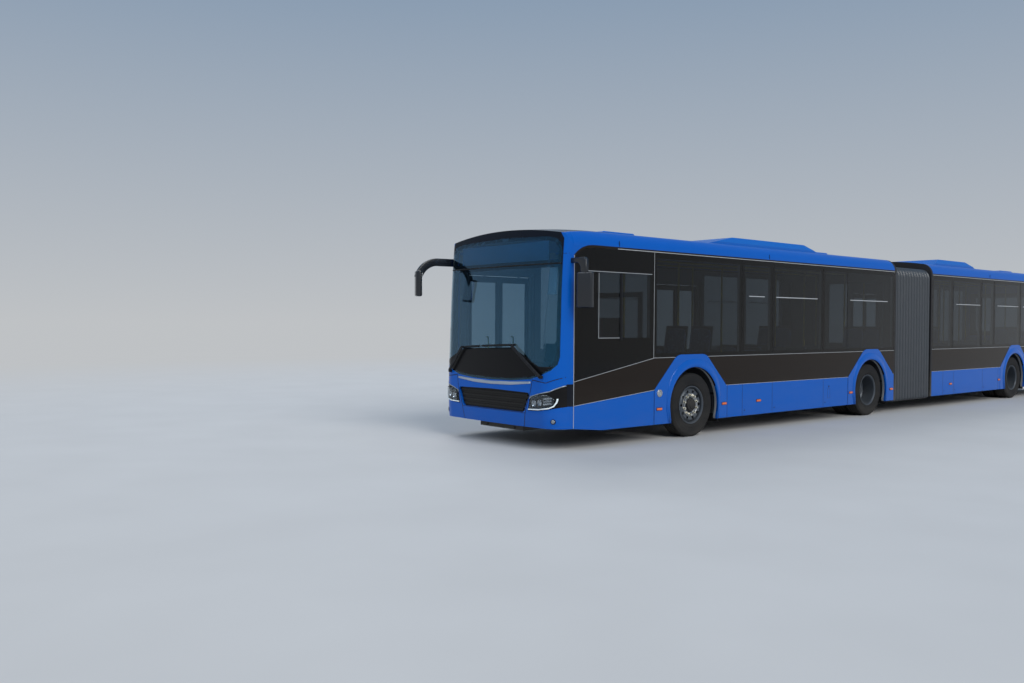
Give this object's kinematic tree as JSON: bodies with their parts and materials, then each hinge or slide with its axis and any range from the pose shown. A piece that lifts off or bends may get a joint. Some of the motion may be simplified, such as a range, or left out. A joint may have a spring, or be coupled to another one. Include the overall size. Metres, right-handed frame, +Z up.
{
  "type": "articulated city bus",
  "caption": "Blue single-deck articulated city bus in two hinged sections with folding bellows, tinted glass band, steering front wheels, twin wheels and inward-opening doors",
  "frame": {"origin": "on the ground, in the middle of the overall length from the tip of the kerb-side mirror to the tail, and in the middle of the width", "axes": "+X is the driving direction, +Y is the driver's (left) side, +Z is up"},
  "size_m": [18.5218, 3.0752, 3.1049],
  "materials": {
    "body_paint": "gloss",
    "dark_paint": "gloss",
    "dark_glass": "polished",
    "lamp_clear": "polished",
    "lamp_red": "gloss",
    "black_plastic": "matte",
    "trim_plastic": "matte",
    "seat_fabric": "matte",
    "rail_metal": "satin",
    "floor_cover": "matte",
    "frame_paint": "satin",
    "cast_parts": "rough",
    "tyre_rubber": "matte",
    "rim_steel": "satin",
    "bellows_cloth": "satin"
  },
  "bodies": {
    "front_section": {"front_mask": "body_paint", "wall_left_front": "body_paint", "wall_right_front": "body_paint", "roof_front": "body_paint", "fairing_front": "body_paint", "windscreen": "dark_glass", "glass_front": "dark_glass", "headlamps": "lamp_clear", "grille": "black_plastic", "mirrors": "black_plastic", "wipers": "black_plastic", "cab": "trim_plastic", "seats_front": "seat_fabric", "handrails_front": "rail_metal", "floor_front": "floor_cover", "underframe_front": "frame_paint", "axles_front": "cast_parts", "joint_front": "frame_paint", "bellows": "bellows_cloth"},
    "rear_section": {"joint_rear": "frame_paint", "wall_left_rear": "body_paint", "wall_right_rear": "body_paint", "roof_rear": "body_paint", "fairing_rear": "body_paint", "tail_mask": "body_paint", "glass_rear": "dark_glass", "tail_lamps": "lamp_red", "seats_rear": "seat_fabric", "handrails_rear": "rail_metal", "floor_rear": "floor_cover", "underframe_rear": "frame_paint", "axles_rear": "cast_parts", "engine": "cast_parts"},
    "knuckle_left": {"knuckle_left": "cast_parts"},
    "knuckle_right": {"knuckle_right": "cast_parts"},
    "wheel_front_left": {"tyre_front_left": "tyre_rubber", "rim_front_left": "rim_steel"},
    "wheel_front_right": {"tyre_front_right": "tyre_rubber", "rim_front_right": "rim_steel"},
    "wheel_mid_left": {"tyre_mid_left": "tyre_rubber", "rim_mid_left": "rim_steel"},
    "wheel_mid_right": {"tyre_mid_right": "tyre_rubber", "rim_mid_right": "rim_steel"},
    "wheel_drive_left": {"tyre_drive_left": "tyre_rubber", "rim_drive_left": "rim_steel"},
    "wheel_drive_right": {"tyre_drive_right": "tyre_rubber", "rim_drive_right": "rim_steel"},
    "d1_post_front": {"d1_post_front": "rail_metal"},
    "d1_leaf_front": {"d1_leaf_front": "dark_paint"},
    "d1_post_rear": {"d1_post_rear": "rail_metal"},
    "d1_leaf_rear": {"d1_leaf_rear": "dark_paint"},
    "d2_post_front": {"d2_post_front": "rail_metal"},
    "d2_leaf_front": {"d2_leaf_front": "dark_paint"},
    "d2_post_rear": {"d2_post_rear": "rail_metal"},
    "d2_leaf_rear": {"d2_leaf_rear": "dark_paint"},
    "d3_post_front": {"d3_post_front": "rail_metal"},
    "d3_leaf_front": {"d3_leaf_front": "dark_paint"},
    "d3_post_rear": {"d3_post_rear": "rail_metal"},
    "d3_leaf_rear": {"d3_leaf_rear": "dark_paint"}
  },
  "joints": [
    {"name": "articulation", "type": "hinge", "parent": "front_section", "child": "rear_section", "pos_m": [-0.925, 0, 0.264], "axis": [0, 0, 1], "range_deg": [-45, 45], "deforming": ["bellows"]},
    {"name": "steer_left", "type": "hinge", "parent": "front_section", "child": "knuckle_left", "pos_m": [5.95, 0.985, 0.479], "axis": [0, 0, 1], "range_deg": [-48, 48]},
    {"name": "steer_right", "type": "hinge", "parent": "front_section", "child": "knuckle_right", "pos_m": [5.95, -0.985, 0.479], "axis": [0, 0, 1], "range_deg": [-48, 48]},
    {"name": "spin_front_left", "type": "hinge", "parent": "knuckle_left", "child": "wheel_front_left", "pos_m": [5.95, 1.105, 0.479], "axis": [0, 1, 0], "continuous": true},
    {"name": "spin_front_right", "type": "hinge", "parent": "knuckle_right", "child": "wheel_front_right", "pos_m": [5.95, -1.105, 0.479], "axis": [0, 1, 0], "continuous": true},
    {"name": "spin_mid_left", "type": "hinge", "parent": "front_section", "child": "wheel_mid_left", "pos_m": [0.75, 0.95, 0.479], "axis": [0, 1, 0], "continuous": true},
    {"name": "spin_mid_right", "type": "hinge", "parent": "front_section", "child": "wheel_mid_right", "pos_m": [0.75, -0.95, 0.479], "axis": [0, 1, 0], "continuous": true},
    {"name": "spin_drive_left", "type": "hinge", "parent": "rear_section", "child": "wheel_drive_left", "pos_m": [-5.88, 0.95, 0.479], "axis": [0, 1, 0], "continuous": true},
    {"name": "spin_drive_right", "type": "hinge", "parent": "rear_section", "child": "wheel_drive_right", "pos_m": [-5.88, -0.95, 0.479], "axis": [0, 1, 0], "continuous": true},
    {"name": "d1_post_front_turn", "type": "hinge", "parent": "front_section", "child": "d1_post_front", "pos_m": [8.34, -1.19, 1.4], "axis": [0, 0, 1], "range_deg": [-78, 0]},
    {"name": "d1_leaf_front_turn", "type": "hinge", "parent": "d1_post_front", "child": "d1_leaf_front", "pos_m": [8.015, -1.19, 1.4], "axis": [0, 0, 1], "range_deg": [0, 156]},
    {"name": "d1_post_rear_turn", "type": "hinge", "parent": "front_section", "child": "d1_post_rear", "pos_m": [7, -1.19, 1.4], "axis": [0, 0, 1], "range_deg": [0, 78]},
    {"name": "d1_leaf_rear_turn", "type": "hinge", "parent": "d1_post_rear", "child": "d1_leaf_rear", "pos_m": [7.325, -1.19, 1.4], "axis": [0, 0, 1], "range_deg": [-156, 0]},
    {"name": "d2_post_front_turn", "type": "hinge", "parent": "front_section", "child": "d2_post_front", "pos_m": [4.01, -1.19, 1.4], "axis": [0, 0, 1], "range_deg": [-78, 0]},
    {"name": "d2_leaf_front_turn", "type": "hinge", "parent": "d2_post_front", "child": "d2_leaf_front", "pos_m": [3.685, -1.19, 1.4], "axis": [0, 0, 1], "range_deg": [0, 156]},
    {"name": "d2_post_rear_turn", "type": "hinge", "parent": "front_section", "child": "d2_post_rear", "pos_m": [2.67, -1.19, 1.4], "axis": [0, 0, 1], "range_deg": [0, 78]},
    {"name": "d2_leaf_rear_turn", "type": "hinge", "parent": "d2_post_rear", "child": "d2_leaf_rear", "pos_m": [2.995, -1.19, 1.4], "axis": [0, 0, 1], "range_deg": [-156, 0]},
    {"name": "d3_post_front_turn", "type": "hinge", "parent": "rear_section", "child": "d3_post_front", "pos_m": [-2.98, -1.19, 1.4], "axis": [0, 0, 1], "range_deg": [-78, 0]},
    {"name": "d3_leaf_front_turn", "type": "hinge", "parent": "d3_post_front", "child": "d3_leaf_front", "pos_m": [-3.305, -1.19, 1.4], "axis": [0, 0, 1], "range_deg": [0, 156]},
    {"name": "d3_post_rear_turn", "type": "hinge", "parent": "rear_section", "child": "d3_post_rear", "pos_m": [-4.32, -1.19, 1.4], "axis": [0, 0, 1], "range_deg": [0, 78]},
    {"name": "d3_leaf_rear_turn", "type": "hinge", "parent": "d3_post_rear", "child": "d3_leaf_rear", "pos_m": [-3.995, -1.19, 1.4], "axis": [0, 0, 1], "range_deg": [-156, 0]}
  ],
  "couplings": [
    {"joint": "steer_right", "follows": "steer_left", "ratio": 1},
    {"joint": "d1_leaf_front_turn", "follows": "d1_post_front_turn", "ratio": -2},
    {"joint": "d1_leaf_rear_turn", "follows": "d1_post_rear_turn", "ratio": -2},
    {"joint": "d2_leaf_front_turn", "follows": "d2_post_front_turn", "ratio": -2},
    {"joint": "d2_leaf_rear_turn", "follows": "d2_post_rear_turn", "ratio": -2},
    {"joint": "d3_leaf_front_turn", "follows": "d3_post_front_turn", "ratio": -2},
    {"joint": "d3_leaf_rear_turn", "follows": "d3_post_rear_turn", "ratio": -2}
  ]
}
